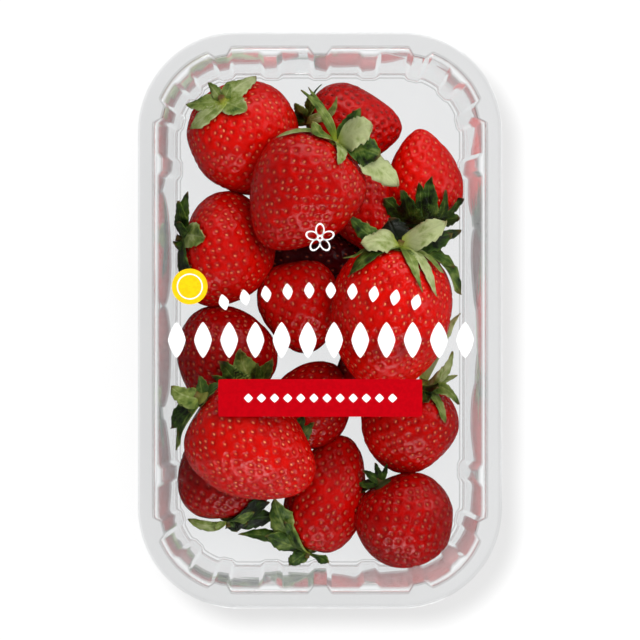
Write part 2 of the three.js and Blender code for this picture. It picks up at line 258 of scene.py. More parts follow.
outside = from_outline((0.0, 0.0)).rise(-1.5 * MM, 0.5 * MM)
painted_shadow = 1.0 - from_outline(PAINTED_SHADOW_SHIFT).rise(-PAINTED_SHADOW_SPREAD * MM, PAINTED_SHADOW_SPREAD * MM)
painted_shade = painted_shadow * outside * PAINTED_SHADOW_DEPTH + (1.0 - outside) * PAINTED_UNDER_SHADE
paper_with_painted_shade = paper.mix(painted_shade, fibres, (0, 0, 0, 1))
bounce = (TABLE_BOUNCE, TABLE_BOUNCE, TABLE_BOUNCE, 1)
white = (TABLE_WHITE, TABLE_WHITE, TABLE_WHITE, 1)
paper_skin = paper.principled({
    "Base Color": paper.mix(seen, bounce, white), "Roughness": 0.9,
    "Specular IOR Level": 0.0, "Emission Strength": TABLE_GLOW,
    "Emission Color": paper.mix(seen, (0, 0, 0, 1), paper_with_painted_shade),
})
paper.finish(paper_skin)

corner = np.array([-FLOOR_HALF, FLOOR_HALF])
floor_x, floor_y = np.meshgrid(corner, corner)
floor_points = np.stack([floor_x, floor_y, np.full((2, 2), -0.05)], axis=-1).reshape(-1, 3)
floor = mesh_object("floor", floor_points, [grid_faces(2, 2)], light_table, smooth=False)

world = bpy.data.worlds.new("surround")
world.use_nodes = True
world.node_tree.nodes.clear()
bpy.context.scene.world = world
sky = Wire(world.node_tree)
height = sky.node(
    "ShaderNodeSeparateXYZ", {}, {"Vector": sky.node("ShaderNodeTexCoord")}, output=2
).rise(0.1, 0.9)
glossy = sky.node("ShaderNodeLightPath", {}, {}, output=3)
mirrored = sky.node("ShaderNodeLightPath", {}, {}, output=4) * glossy
lit = height * (SURROUND_HIGH - SURROUND_LOW) + SURROUND_LOW
reflected = height * (MIRRORED_HIGH - MIRRORED_LOW) + MIRRORED_LOW
strength = mirrored * reflected + (glossy - mirrored) * SHEEN_LEVEL + (1.0 - glossy) * lit
background = sky.node("ShaderNodeBackground", {}, {"Color": (1, 1, 1, 1), "Strength": strength})
sky.node("ShaderNodeOutputWorld", {}, {"Surface": background})

key_data = bpy.data.lights.new("key_light", "SUN")
key_data.energy = KEY_STRENGTH
key_data.angle = KEY_WIDTH
key_light = bpy.data.objects.new("key_light", key_data)
key_light.rotation_euler = np.radians(KEY_TURN)
key_light.visible_glossy = False
bpy.context.scene.collection.objects.link(key_light)

for number, (place, size, power) in enumerate(SOFT_BOXES):
    box_data = bpy.data.lights.new(f"soft_box_{number}", "AREA")
    box_data.shape = "RECTANGLE"
    box_data.size, box_data.size_y = size
    box_data.energy = power
    soft_box = bpy.data.objects.new(f"soft_box_{number}", box_data)
    soft_box.location = place
    soft_box.rotation_euler = Vector(place).to_track_quat("Z", "Y").to_euler()
    soft_box.visible_camera = False
    bpy.context.scene.collection.objects.link(soft_box)


# Lid film: clear film about 0.04 mm thick, heat-sealed to the rim all round and drawn 0.3 mm
# thick. It is pulled tight, with faint waves that run in from the seal.
FILM_BOTTOM = RIM_HEIGHT + 0.05
FILM_THICKNESS = 0.3
FILM_WAVE = 0.05
SEAL_WIDTH = 8.0
FILM_SHINE, FILM_VEIL = 0.55, 0.0015

clear_film, film = new_material("clear_film")
film_facing = film.node("ShaderNodeLayerWeight", {}, {"Blend": 0.5}, output=1)
film_shine = film_facing ** 4 * FILM_SHINE + FILM_VEIL
film_through = film.clear(0.993, 0.995, 0.996)
film_gloss = film.principled({"Base Color": (1, 1, 1, 1), "Metallic": 1.0, "Roughness": 0.0})
film_skin = film.blend(film_shine, film_through, film_gloss)
film.finish(film_skin)


def rounded_outline(half_x, half_y, radius, steps):
    """Closed outline of a rectangle with round corners, anticlockwise, as points and outward
    directions: each corner is a quarter circle, and each long side gets points in between."""
    angle = np.radians(np.linspace(0, 90, steps))
    turned = angle[None, :] + np.radians([0, 90, 180, 270])[:, None]
    outward = np.stack([np.cos(turned), np.sin(turned)], axis=-1)
    middles = np.array([[1, 1], [-1, 1], [-1, -1], [1, -1]]) * [half_x - radius, half_y - radius]
    arcs = middles[:, None, :] + radius * outward
    share = np.linspace(0, 1, steps + 1, endpoint=False)[1:, None]
    pieces, directions = [], []
    for side in range(4):
        start, end = arcs[side, -1], arcs[(side + 1) % 4, 0]
        pieces += [arcs[side], start + (end - start) * share]
        directions += [outward[side], np.repeat(outward[side, -1:], steps, axis=0)]
    return np.concatenate(pieces), np.concatenate(directions)


def film_rise(x, y):
    """Height of the tight film over its mean level: low waves that fade towards the seal."""
    fade_x = np.clip((PACK_WIDTH / 2 - SEAL_WIDTH - np.abs(x)) / 15, 0, 1)
    fade_y = np.clip((PACK_LENGTH / 2 - SEAL_WIDTH - np.abs(y)) / 15, 0, 1)
    waves = np.sin(x / 9 + y / 23) + np.sin(y / 13 - x / 31 + 1) + np.sin((x + y) / 17 + 2)
    return FILM_WAVE * waves * fade_x * fade_y


film_ring, _ = rounded_outline(PACK_WIDTH / 2, PACK_LENGTH / 2, CORNER_RADIUS, 24)
film_shares = np.linspace(0.02, 1, 40)
film_grid = film_ring[None, :, :] * film_shares[:, None, None]
film_z = film_rise(film_grid[..., 0], film_grid[..., 1])[..., None]
film_under = np.concatenate([film_grid, film_z + FILM_BOTTOM], axis=-1)
film_over = film_under + [0, 0, FILM_THICKNESS]
film_rows = np.concatenate([film_over, film_under[::-1]])
film_middle = film_rise(0.0, 0.0) + FILM_BOTTOM + np.array([FILM_THICKNESS, 0])
film_caps = np.stack([np.zeros(2), np.zeros(2), film_middle], axis=-1)
film_points = np.concatenate([film_rows.reshape(-1, 3), film_caps])
film_columns = len(film_ring)
film_count = film_rows.shape[0] * film_columns
film_faces = [
    grid_faces(film_rows.shape[0], film_columns, wrap=True)[:, ::-1],
    fan_faces(film_count, np.arange(film_columns)),
    fan_faces(film_count + 1, film_count - film_columns + np.arange(film_columns), flip=True),
]
lid_film = mesh_object("lid_film_sheet", film_points, film_faces, clear_film)
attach(lid_film, "root")
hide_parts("lid_film")


# Print on the film: opaque inks laid on the outside. A red band with a row of white dashes, a row
# of upright white petals, an arc of small white petals, a white blossom and a yellow disc.
INK_THICKNESS = 0.04
INK_LIFT = 0.02
INK_GRAIN = 900.0


def ink_material(name, colour, rough):
    """Ink: one colour with the fine uneven cover of a printed film."""
    material, ink = new_material(name)
    place = ink.own_place()
    cover = ink.noise(place, INK_GRAIN, 2.0)
    dimmed = tuple(0.88 * part for part in colour[:3]) + (1.0,)
    shade = ink.mix(cover.rise(0.35, 0.65), dimmed, colour)
    skin = ink.principled({"Base Color": shade, "Roughness": rough, "Specular IOR Level": 0.03})
    ink.finish(skin)
    return material


white_ink = ink_material("white_ink", srgb(252, 252, 252), 0.5)
red_ink = ink_material("red_ink", srgb(184, 0, 14), 0.4)
yellow_ink = ink_material("yellow_ink", srgb(255, 205, 20), 0.4)


def photo_place(column, row):
    """Place on the film, in millimetres, of a pixel of the photo."""
    return np.array([column - PHOTO_WIDTH / 2, CENTRE_ROW - row]) * pixel


def ink_shapes(name, places, turns, half_sizes, power, material, level=0, inner=0.0, rings=6):
    """Thin plates of one outline: at each angle the two half sizes times a cosine and a sine,
    raised to the power 2 / power, so 2 is an oval, 1 a lozenge and more a rounded rectangle.
    inner is the share of the outline at which a plate's hole starts, 0 for none."""
    angle = np.linspace(0, 2 * np.pi, 64, endpoint=False)
    cosine, sine = np.cos(angle), np.sin(angle)
    flat = np.stack([np.sign(cosine) * np.abs(cosine) ** (2 / power) * half_sizes[0],
                     np.sign(sine) * np.abs(sine) ** (2 / power) * half_sizes[1]], axis=-1)
    shares = np.linspace(max(inner, 0.01), 1, rings)
    rows = np.concatenate([shares, shares[::-1]])[:, None, None] * flat
    lifts = np.repeat([INK_THICKNESS, 0.0], rings)[:, None]
    points, faces = [], []
    for place, turn in zip(places, turns):
        cos_turn, sin_turn = np.cos(np.radians(turn)), np.sin(np.radians(turn))
        turned = rows @ np.array([[cos_turn, sin_turn], [-sin_turn, cos_turn]]) + place
        base = FILM_BOTTOM + FILM_THICKNESS + INK_LIFT + level * (INK_THICKNESS + INK_LIFT)
        z = film_rise(turned[..., 0], turned[..., 1]) + base + lifts
        start = sum(len(part) for part in points)
        points.append(np.concatenate([turned, z[..., None]], axis=-1).reshape(-1, 3))
        count = 2 * rings
        faces.append(grid_faces(count, len(angle), wrap=True)[:, ::-1] + start)
        last = (count - 1) * len(angle) + np.arange(len(angle))
        first = np.arange(len(angle))
        following = np.roll(first, -1)
        closing = np.stack([first, last, np.roll(last, -1), following], axis=-1)
        faces.append(closing[:, ::-1] + start)
    made = mesh_object(name, np.concatenate(points), faces, material, smooth=False)
    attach(made, "root")
    return made


BAND_LEFT, BAND_RIGHT, BAND_TOP, BAND_BOTTOM = 210.5, 430.0, 421.5, 462.0
DASH_ROW, DASH_LEFT, DASH_RIGHT, DASH_COUNT = 442.0, 243.0, 398.0, 12
PETAL_ROW, PETAL_LEFT, PETAL_RIGHT, PETAL_COUNT = 379.5, 166.0, 476.0, 12
ARC_MIDDLE, ARC_TOP, ARC_RADIUS, ARC_SPREAD, ARC_COUNT = 320.0, 326.0, 420.0, 28.5, 10
BLOSSOM_PLACE = (320.0, 270.0)
BADGE_PLACE = (180.0, 322.0)

band_middle = photo_place((BAND_LEFT + BAND_RIGHT) / 2, (BAND_TOP + BAND_BOTTOM) / 2)
band_half = np.array([BAND_RIGHT - BAND_LEFT, BAND_BOTTOM - BAND_TOP]) * pixel / 2
band = ink_shapes("print_band", [band_middle], [0], band_half, 40, red_ink, rings=24)
dashes = ink_shapes(
    "print_band_dashes",
    [photo_place(column, DASH_ROW) for column in np.linspace(DASH_LEFT, DASH_RIGHT, DASH_COUNT)],
    np.zeros(DASH_COUNT), (1.45, 1.45), 1.2, white_ink, level=1,
)
petals = ink_shapes(
    "print_petals",
    [photo_place(column, PETAL_ROW) for column in np.linspace(PETAL_LEFT, PETAL_RIGHT, PETAL_COUNT)],
    np.zeros(PETAL_COUNT), (2.9, 5.9), 1.35, white_ink,
)
arc_angles = np.linspace(-ARC_SPREAD / 2, ARC_SPREAD / 2, ARC_COUNT)
arc_petals = ink_shapes(
    "print_arc",
    [photo_place(ARC_MIDDLE + ARC_RADIUS * np.sin(np.radians(angle)),
                 ARC_TOP + ARC_RADIUS * (1 - np.cos(np.radians(angle)))) for angle in arc_angles],
    -arc_angles, (1.7, 2.7), 1.35, white_ink,
)
blossom_turns = np.arange(5) * 72 + 90
blossom_middle = photo_place(*BLOSSOM_PLACE)
blossom = ink_shapes(
    "print_blossom",
    [blossom_middle + 2.7 * np.array([np.cos(turn), np.sin(turn)])
     for turn in np.radians(blossom_turns)],
    blossom_turns, (2.3, 1.55), 2, white_ink, inner=0.72,
)
badge = ink_shapes("print_badge", [photo_place(*BADGE_PLACE)], [0], (5.9, 5.9), 2, yellow_ink)
badge_ring = ink_shapes(
    "print_badge_ring", [photo_place(*BADGE_PLACE)], [0], (4.3, 4.3), 2, white_ink, level=1, inner=0.9
)


# Tray: one sheet of clear plastic, drawn down over a mould. A flat rim carries the film, a
# shoulder under it stiffens the mouth, and upright ribs run down the walls to a round foot.
RIM_FLAT = 5.4
SHEET = 0.6
LIP_DROP = 1.6
MOUTH_DRAFT = 0.2
SHOULDER_Z = RIM_HEIGHT - 3.0
SHOULDER_STEP = 1.3
FOOT_INSET = SHOULDER_STEP + 3.9
FOOT_ROUND = 1.6
FOOT_SHARE = 0.3
RIB_PLACES = np.array([0, 16.5, 33.2, 48.7, 63.3, 80.9])
RIB_FLAT, RIB_SLOPE = 4.2, 1.8
RIB_TOP, RIB_FOOT, RIB_ROUND, RIB_BASE = 1.15, 1.6, 1.3, 0.8
JOG = SHOULDER_STEP + RIB_TOP
STATION_STEP = 1.1
EDGE_STEP = 0.1
FILLET = 0.32
RIM_TINT_AND_PAINTED_SHADE = 0.125
SHORT_WALL_PAINTED_SHADE, LONG_WALL_PAINTED_SHADE = 0.25, 0.45
GLEAM_TILT = 0.19
SHINE_MOST = 0.44
MOUTH_RADIUS = CORNER_RADIUS - RIM_FLAT
SHORT_HALF = PACK_WIDTH / 2 - CORNER_RADIUS
LONG_HALF = PACK_LENGTH / 2 - CORNER_RADIUS

clear_tray, tray_sheet = new_material("clear_tray")
tray_fresnel = tray_sheet.node("ShaderNodeFresnel", {}, {"IOR": 1.5})
tray_shine = tray_sheet.math("MINIMUM", tray_fresnel, SHINE_MOST)
# Painted shade: a darker clear sheet at the folds, on the rim and on flat walls seen at a low angle.
painted_crease_shade = tray_sheet.attribute("fold")
wall = tray_sheet.attribute("wall")
grazing = tray_sheet.node("ShaderNodeLayerWeight", {}, {"Blend": 0.5}, output=1) ** 6
fold = tray_sheet.math("MAXIMUM", painted_crease_shade, wall * grazing)
flat_sheet = tray_sheet.clear(0.985, 0.988, 0.99)
shade_painted_sheet = tray_sheet.clear(0.34, 0.33, 0.33)
tray_through = tray_sheet.blend(fold, flat_sheet, shade_painted_sheet)
# The drawn walls bulge slightly, so their gloss is tipped up and mirrors more of the fruit.
sheet_normal = tray_sheet.node("ShaderNodeNewGeometry", {}, {}, output=1)
tilted = tray_sheet.node(
    "ShaderNodeVectorMath", {"operation": "ADD"}, {0: sheet_normal, 1: (0, 0, GLEAM_TILT)}
)
gleam_normal = tray_sheet.node("ShaderNodeVectorMath", {"operation": "NORMALIZE"}, {0: tilted})
tray_gloss = tray_sheet.principled(
    {"Base Color": (1, 1, 1, 1), "Metallic": 1.0, "Roughness": 0.0, "Normal": gleam_normal}
)
tray_skin = tray_sheet.blend(tray_shine, tray_through, tray_gloss)
tray_sheet.finish(tray_skin)


def smooth_step(values):
    """0 up to 0, 1 from 1 on, and the cubic 3t² - 2t³ between."""
    share = np.clip(values, 0, 1)
    return share * share * (3 - 2 * share)


def mouth_stations():
    """Points of the mouth line with their outward directions and how far each is on a tall or a
    short rib: one quarter is worked out by the distance along it and mirrored three times."""
    arc = MOUTH_RADIUS * np.pi / 2
    quarter = SHORT_HALF + arc + LONG_HALF
    bends = np.array([RIB_FLAT / 2, RIB_FLAT / 2 + RIB_SLOPE])
    bends = (RIB_PLACES[:, None] + np.concatenate([-bends, bends])).ravel()
    beside = np.concatenate([bends - EDGE_STEP, bends + EDGE_STEP])
    steps = np.concatenate([np.arange(STATION_STEP / 2, quarter, STATION_STEP), beside[beside > 0]])
    distance = np.sort(steps)
    angle = np.clip((distance - SHORT_HALF) / MOUTH_RADIUS, 0, np.pi / 2)
    outward = np.stack([np.sin(angle), np.cos(angle)], axis=-1)
    straight_x = np.minimum(distance, SHORT_HALF)
    straight = np.stack([straight_x, np.clip(quarter - distance, 0, LONG_HALF)], axis=-1)
    points = straight + MOUTH_RADIUS * outward
    away = np.abs(distance[:, None] - RIB_PLACES)
    on_rib = np.clip((RIB_FLAT / 2 + RIB_SLOPE - away) / RIB_SLOPE, 0, 1)
    tall, short = on_rib[:, 0::2].max(1), on_rib[:, 1::2].max(1)
    turns = [([1, 1], slice(None, None, -1)), ([-1, 1], slice(None)),
             ([-1, -1], slice(None, None, -1)), ([1, -1], slice(None))]
    return (np.concatenate([points[order] * sign for sign, order in turns]),
            np.concatenate([outward[order] * sign for sign, order in turns]),
            np.concatenate([tall[order] for _, order in turns]),
            np.concatenate([short[order] for _, order in turns]))


def rounded_profile(corners, radius, steps=4):
    """Rows of a profile with its corners rounded: near each corner a quadratic curve leaves the
    one leg and joins the other, at the radius from the corner or half the leg if that is less.
    The last column, how much painted shade the fold gets, is kept inside the corner and runs
    out as a sine."""
    rows = [corners[0]]
    for before, corner_row, after in zip(corners, corners[1:], corners[2:]):
        first = min(radius / np.linalg.norm((corner_row - before)[:2]), 0.5)
        second = min(radius / np.linalg.norm((after - corner_row)[:2]), 0.5)
        start = corner_row + (before - corner_row) * first
        end = corner_row + (after - corner_row) * second
        for share in np.linspace(0, 1, steps + 1):
            row = (1 - share) ** 2 * start + 2 * share * (1 - share) * corner_row + share ** 2 * end
            row[4] = corner_row[4] * np.sin(np.pi * share)
            rows.append(row)
    return np.array(rows + [corners[-1]])


station_points, station_outward, station_tall, station_short = mouth_stations()
foot_middle = FOOT_ROUND * FOOT_SHARE
inner_corners = np.array([
    [FOOT_INSET + FOOT_ROUND + 4, SHEET, 0, 0, 0],
    [FOOT_INSET + FOOT_ROUND, SHEET, RIB_BASE, RIB_BASE, 0.35],
    [FOOT_INSET + foot_middle, SHEET + foot_middle, RIB_ROUND, RIB_ROUND, 0.5],
    [FOOT_INSET, SHEET + FOOT_ROUND, RIB_FOOT, RIB_FOOT, 0.3],
    [MOUTH_DRAFT + SHOULDER_STEP, SHOULDER_Z, RIB_TOP, RIB_TOP, 0.5],
    [MOUTH_DRAFT, SHOULDER_Z, JOG, 0, 0.25],
    [0, RIM_HEIGHT, JOG, 0, 1.0],
    [-RIM_FLAT, RIM_HEIGHT, 0, 0, 0.2],
    [-RIM_FLAT, RIM_HEIGHT - LIP_DROP, 0, 0, 0],
])
outer_corners = np.array([
    [-RIM_FLAT + SHEET, RIM_HEIGHT - LIP_DROP, 0, 0, 0],
    [-RIM_FLAT + SHEET, RIM_HEIGHT - SHEET, 0, 0, 0.1],
    [-SHEET, RIM_HEIGHT - SHEET, JOG, 0, 0.6],
    [MOUTH_DRAFT - SHEET, SHOULDER_Z - SHEET, JOG, 0, 0.2],
    [MOUTH_DRAFT + SHOULDER_STEP - SHEET, SHOULDER_Z - SHEET, RIB_TOP, RIB_TOP, 0.3],
    [FOOT_INSET - SHEET, SHEET + FOOT_ROUND, RIB_FOOT, RIB_FOOT, 0.2],
    [FOOT_INSET + foot_middle - SHEET * (1 - FOOT_SHARE), foot_middle, RIB_ROUND, RIB_ROUND, 0.3],
    [FOOT_INSET + FOOT_ROUND, 0, RIB_BASE, RIB_BASE, 0.2],
    [FOOT_INSET + FOOT_ROUND + 4, 0, 0, 0, 0],
])
profile = np.concatenate([rounded_profile(side, FILLET) for side in (inner_corners, outer_corners)])
inwards = profile[:, 0, None] + profile[:, 2, None] * station_tall + profile[:, 3, None] * station_short
tray_xy = station_points[None] - inwards[..., None] * station_outward[None]
tray_z = np.broadcast_to(profile[:, 1, None], inwards.shape)
tray_rows = np.concatenate([tray_xy, tray_z[..., None]], axis=-1)
base_shares = np.array([0.0, 0.25, 0.5, 0.75])[:, None, None] * [1, 1, 0] + [0, 0, 1]
base_shares[0, 0, :2] = 0.01
tray_rows = np.concatenate([tray_rows[:1] * base_shares, tray_rows, tray_rows[-1:] * base_shares[::-1]])
# Painted shade on the sheet, for the light a clear sheet turns aside where it bends: its folds and
# rim from anywhere, its flat walls only at a low angle. The rim's grey is partly the sheet's own tint.
on_rim = (profile[:, 0] < 0.1) & (profile[:, 1] > RIM_HEIGHT - 2 * SHEET)
on_wall = (profile[:, 1] > SHEET + 0.5 * FOOT_ROUND) & (profile[:, 1] < SHOULDER_Z)
flatness = np.abs(2 * (station_tall + station_short) - 1)
painted_wall_shade = SHORT_WALL_PAINTED_SHADE + (LONG_WALL_PAINTED_SHADE - SHORT_WALL_PAINTED_SHADE) * station_outward[:, 0] ** 2
painted_wall_shade_rows = on_wall[:, None] * flatness * painted_wall_shade
painted_fold_shade = np.maximum(profile[:, 4], on_rim * RIM_TINT_AND_PAINTED_SHADE)
painted_fold_shade_rows = np.broadcast_to(painted_fold_shade[:, None], painted_wall_shade_rows.shape)
flat_rows = np.zeros((4, len(station_points)))
tray_columns = len(station_points)
tray_points = tray_rows.reshape(-1, 3)
tray_count = len(tray_points)
tray_faces = [
    grid_faces(len(tray_rows), tray_columns, wrap=True),
    fan_faces(tray_count, np.arange(tray_columns), flip=True),
    fan_faces(tray_count + 1, tray_count - tray_columns + np.arange(tray_columns)),
]
tray_points = np.concatenate([tray_points, [[0, 0, SHEET], [0, 0, 0]]])
tray_painted_shades = {
    key: np.concatenate([flat_rows.ravel(), rows.ravel(), flat_rows.ravel(), [0, 0]])
    for key, rows in (("fold", painted_fold_shade_rows), ("wall", painted_wall_shade_rows))
}
tray = mesh_object("tray_sheet", tray_points, tray_faces, clear_tray, attributes=tray_painted_shades)
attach(tray, "root")
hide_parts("tray")


# Strawberries: fresh fruit, tipped into the tray. Each row gives a berry's middle, its length,
# width and thickness, the turn of its tip from +X towards +Y and its rise in degrees, its taper
# to the tip, how dark its red is, from 0, light red, to 1, dark red, which is its ripeness and also
# painted shade on fruit that lies in shade, and over 1 painted shade on fruit deep in the heap,
# and how dark its seeds are, their own colour and on fruit in shade also painted shade.
BERRIES = [
    ((-25, 60.4, 20.5), (43.4, 37.6, 34), -60, -44, 0.2, 0.3, 0.1),
    ((11.4, 66, 15), (33, 28.5, 26.8), -4, -4, 0.34, 0.55, 0.9),
    ((-6.2, 42.3, 38), (43, 38.5, 35.4), 234, -5, 0.3, 0.66, 0.2),
    ((-31.4, 23.2, 19.3), (32.6, 39.6, 34.7), -15, -10, 0.15, 0.4, 0.2),
    ((34.7, 48.9, 15), (32, 27, 25.9), 94, 8, 0.4, 0.0, 0.0),
    ((16.1, 36.3, 13.4), (33, 26, 24.4), -60, 0, 0.3, 0.6, 0.4),
    ((23.6, 0.9, 36.2), (52, 40.5, 37.7), -98, -15, 0.12, 0.22, 0.1),
    ((-6.6, 5, 15.2), (33, 28, 25.8), -80, -8, 0.2, 0.5, 0.3),
    ((-32.1, -11.6, 17), (35.4, 34, 29.7), 125, -8, 0.15, 0.95, 0.3),
    ((-22.7, -41.9, 39.2), (47, 36.5, 33), -32, -4, 0.22, 0.46, 0.0),
    ((-32.5, -51.1, 15), (35, 32, 27.5), 95, 0, 0.22, 0.9, 0.6),
    ((-2.8, -28.4, 14.8), (31, 28, 26.3), 60, 0, 0.2, 0.8, 0.4),
    ((29.9, -36.2, 19), (33, 33, 29.7), -108, -20, 0.2, 0.62, 0.3),
    ((28.7, -68.7, 16.8), (34, 33.5, 29.8), -60, -12, 0.12, 0.8, 0.5),
    ((2.2, -59.4, 13.6), (42, 27, 24.8), 72, 0, 0.18, 0.7, 0.3),
    # The last three lie low in the gaps of the heap; their near-black red is painted shade.
    ((30.1, 17.4, 11.2), (31, 21, 19.9), 262, 0, 0.3, 2.0, 0.8),
    ((-2, 22.6, 9.8), (42, 22.5, 17), -10, 0, 0.3, 2.4, 0.9),
    ((19, -16.8, 10.6), (28, 19.5, 18.5), -20, 0, 0.3, 1.8, 0.8),
]
GOLDEN_TURN = 2.4
SPIRAL_TURN = np.pi * (3 - np.sqrt(5))
SKIN_STEP = 0.56
SEED_AREA = 10.8
SEED_SCATTER = 0.035
PIT_RADIUS = 1.6
PIT_DEPTH = 0.72
SEED_HALF = np.array([0.36, 0.6, 0.26])
CLEARANCE = 0.4

berry_skin, skin = new_material("berry_skin")
skin_place = skin.own_place()
pit = skin.attribute("pit")
ripe = skin.attribute("ripe")
tipward = skin.attribute("tipward")
blotch = skin.noise(skin_place, 70.0, 3.0)
speckle = skin.noise(skin_place, 420.0, 3.0)
pore = skin.noise(skin_place, 1300.0, 2.0)
# Painted shade in this red: darker red in the pits, the part of each berry's ripeness value that stands
# for shade, and near black past 1.2 for fruit deep in the heap; blotches and speckles are the fruit's
# own colour.
red_depth_and_shade = ripe * 0.9 + (blotch - 0.5) * 0.7 + (speckle - 0.5) * 0.7 + pit * 0.3
light_red = skin.mix(tipward.rise(0.0, 0.16), srgb(228, 36, 12), srgb(222, 10, 0))
deep_red_and_shade = skin.mix(red_depth_and_shade.rise(1.2, 2.4), srgb(134, 0, 1), srgb(46, 0, 3))
red = skin.mix(red_depth_and_shade.rise(-0.2, 1.2), light_red, deep_red_and_shade)
skin_rough = 0.17 + pit * 0.28 + (pore - 0.5) * 0.1
skin_bump = skin.bump(0.5, 0.0003, pore + speckle)
skin_surface = skin.principled({
    "Base Color": red, "Roughness": skin_rough, "Normal": skin_bump, "Specular IOR Level": 0.32,
    "Subsurface Weight": 0.08, "Subsurface Radius": (0.9, 0.08, 0.03), "Subsurface Scale": 0.001,
})
skin.finish(skin_surface)

seed_skin, seed_look = new_material("seed_skin")
seed_place = seed_look.own_place()
dark_seed = seed_look.attribute("dark")
seed_mottle = seed_look.noise(seed_place, 240.0, 2.0)
pale_seed = seed_look.mix(seed_mottle.rise(0.3, 0.7), srgb(226, 88, 50), srgb(246, 160, 104))
# Darker seeds: their own colour, and on fruit in shade also painted shade.
seed_colour = seed_look.mix(dark_seed, pale_seed, srgb(132, 24, 14))
seed_surface = seed_look.principled(
    {"Base Color": seed_colour, "Roughness": 0.36, "Specular IOR Level": 0.3}
)
seed_look.finish(seed_surface)


def berry_frame(turn, rise):
    """Rows of the frame of a berry: level direction across it, steepest one, and the tip."""
    azimuth, climb = np.radians(turn), np.radians(rise)
    tip = np.array([np.cos(azimuth) * np.cos(climb), np.sin(azimuth) * np.cos(climb), np.sin(climb)])
    across = np.cross([0, 0, 1], tip)
    across /= np.linalg.norm(across)
    return np.stack([across, np.cross(tip, across), tip])


def berry_profile(size, taper, angle):
    """Radius and height along the axis at an angle from the stem end: half the width times a
    sine that swells towards the stem, and half the length times a cosine with a hollow."""
    cosine = (np.sqrt(1 + 8 * taper ** 2) - 1) / (4 * taper)
    largest = np.sqrt(1 - cosine ** 2) * (1 + taper * cosine)
    radius = size[1] / 2 * np.sin(angle) * (1 + taper * np.cos(angle)) / largest
    hollow = 0.045 * size[0] * np.exp(-((angle / 0.4) ** 2))
    return radius, -size[0] / 2 * np.cos(angle) + hollow


def berry_points(index, angle, around):
    """Points of a berry in its own frame: the profile turned about the axis, slightly three-sided
    and with low lumps, which are a sum of sines of the direction."""
    _, size, _, _, taper, _, _ = BERRIES[index]
    radius, z = berry_profile(size, taper, angle)
    three = 0.03 * np.cos(3 * around + GOLDEN_TURN * index)
    x, y = np.cos(around) * np.sin(angle), np.sin(around) * np.sin(angle)
    lumps = (np.sin(5.1 * x + 3.3 * np.cos(angle) + 1.7 * index)
             + np.sin(4.3 * y - 5.7 * np.cos(angle) + 2.9 * index)
             + 0.6 * np.sin(9.7 * x - 7.9 * y + 4.1 * index))
    radius = radius * (1 + three + 0.009 * lumps)
    return np.stack([radius * np.cos(around), radius * np.sin(around) * size[2] / size[1],
                     np.broadcast_to(z, radius.shape) + 0.1 * lumps * np.sin(angle)], axis=-1)


def surface_normals(index, angle, around):
    """Outward directions by small steps along both angles."""
    step = 0.01
    along = berry_points(index, angle + step, around) - berry_points(index, angle - step, around)
    about = berry_points(index, angle, around + step) - berry_points(index, angle, around - step)
    normal = np.cross(about, along)
    normal /= np.linalg.norm(normal, axis=-1, keepdims=True)
    along /= np.linalg.norm(along, axis=-1, keepdims=True)
    return normal, along


def seed_angles(index):
    """Both angles of each seed of a berry: turned by the golden angle from one to the next, and
    spread from stem to tip so that each takes the same area of skin."""
    _, size, _, _, taper, _, _ = BERRIES[index]
    angle = np.linspace(0.28, np.pi - 0.03, 400)
    radius, z = berry_profile(size, taper, angle)
    arc = np.hypot(np.diff(radius), np.diff(z))
    area = np.concatenate([[0], np.cumsum(2 * np.pi * (radius[1:] + radius[:-1]) / 2 * arc)])
    count = int(area[-1] / SEED_AREA)
    number = np.arange(count)
    share = (number + 0.5) / count * area[-1]
    seed_angle = np.interp(share, area, angle) + SEED_SCATTER * np.sin(7.7 * number + 1.9 * index)
    aside = SEED_SCATTER * np.sin(12.9 * number + index) / np.sin(seed_angle).clip(0.2, 1)
    return seed_angle, number * SPIRAL_TURN + index + aside


def keep_in_tray(points):
    """Points pressed in where they would touch the base, the film or the walls and their ribs."""
    kept = points.copy()
    kept[:, 2] = np.clip(kept[:, 2], SHEET + CLEARANCE, FILM_BOTTOM - CLEARANCE)
    down = np.clip((SHOULDER_Z - kept[:, 2]) / (SHOULDER_Z - SHEET - FOOT_ROUND), 0, 1)
    low = np.clip(1 - (kept[:, 2] - SHEET) / FOOT_ROUND, 0, 1)
    inset = (MOUTH_DRAFT + JOG + down * (FOOT_INSET + RIB_FOOT - JOG - MOUTH_DRAFT)
             + low ** 2 * (FOOT_ROUND + RIB_BASE - RIB_FOOT) + CLEARANCE)
    core = np.array([SHORT_HALF, LONG_HALF])
    beyond = np.maximum(np.abs(kept[:, :2]) - core, 0)
    reach = np.linalg.norm(beyond, axis=-1)
    limit = MOUTH_RADIUS - inset
    shrink = np.where(reach > limit, limit / np.maximum(reach, 1e-9), 1)[:, None]
    pressed = np.sign(kept[:, :2]) * (core + beyond * shrink)
    kept[:, :2] = np.where(np.abs(kept[:, :2]) > core, pressed, kept[:, :2])
    return kept


def ball_template(rings, sides):
    """Unit ball as points and faces: rings of points between two poles."""
    angle = np.linspace(0, np.pi, rings + 2)[1:-1, None]
    around = np.linspace(0, 2 * np.pi, sides, endpoint=False)[None, :]
    shell = np.stack([np.sin(angle) * np.cos(around), np.sin(angle) * np.sin(around),
                      np.broadcast_to(np.cos(angle), (rings, sides))], axis=-1).reshape(-1, 3)
    points = np.concatenate([shell, [[0, 0, 1], [0, 0, -1]]])
    count = rings * sides
    last = count - sides + np.arange(sides)
    faces = [grid_faces(rings, sides, wrap=True)[:, ::-1], fan_faces(count, np.arange(sides)),
             fan_faces(count + 1, last, flip=True)]
    return points, faces


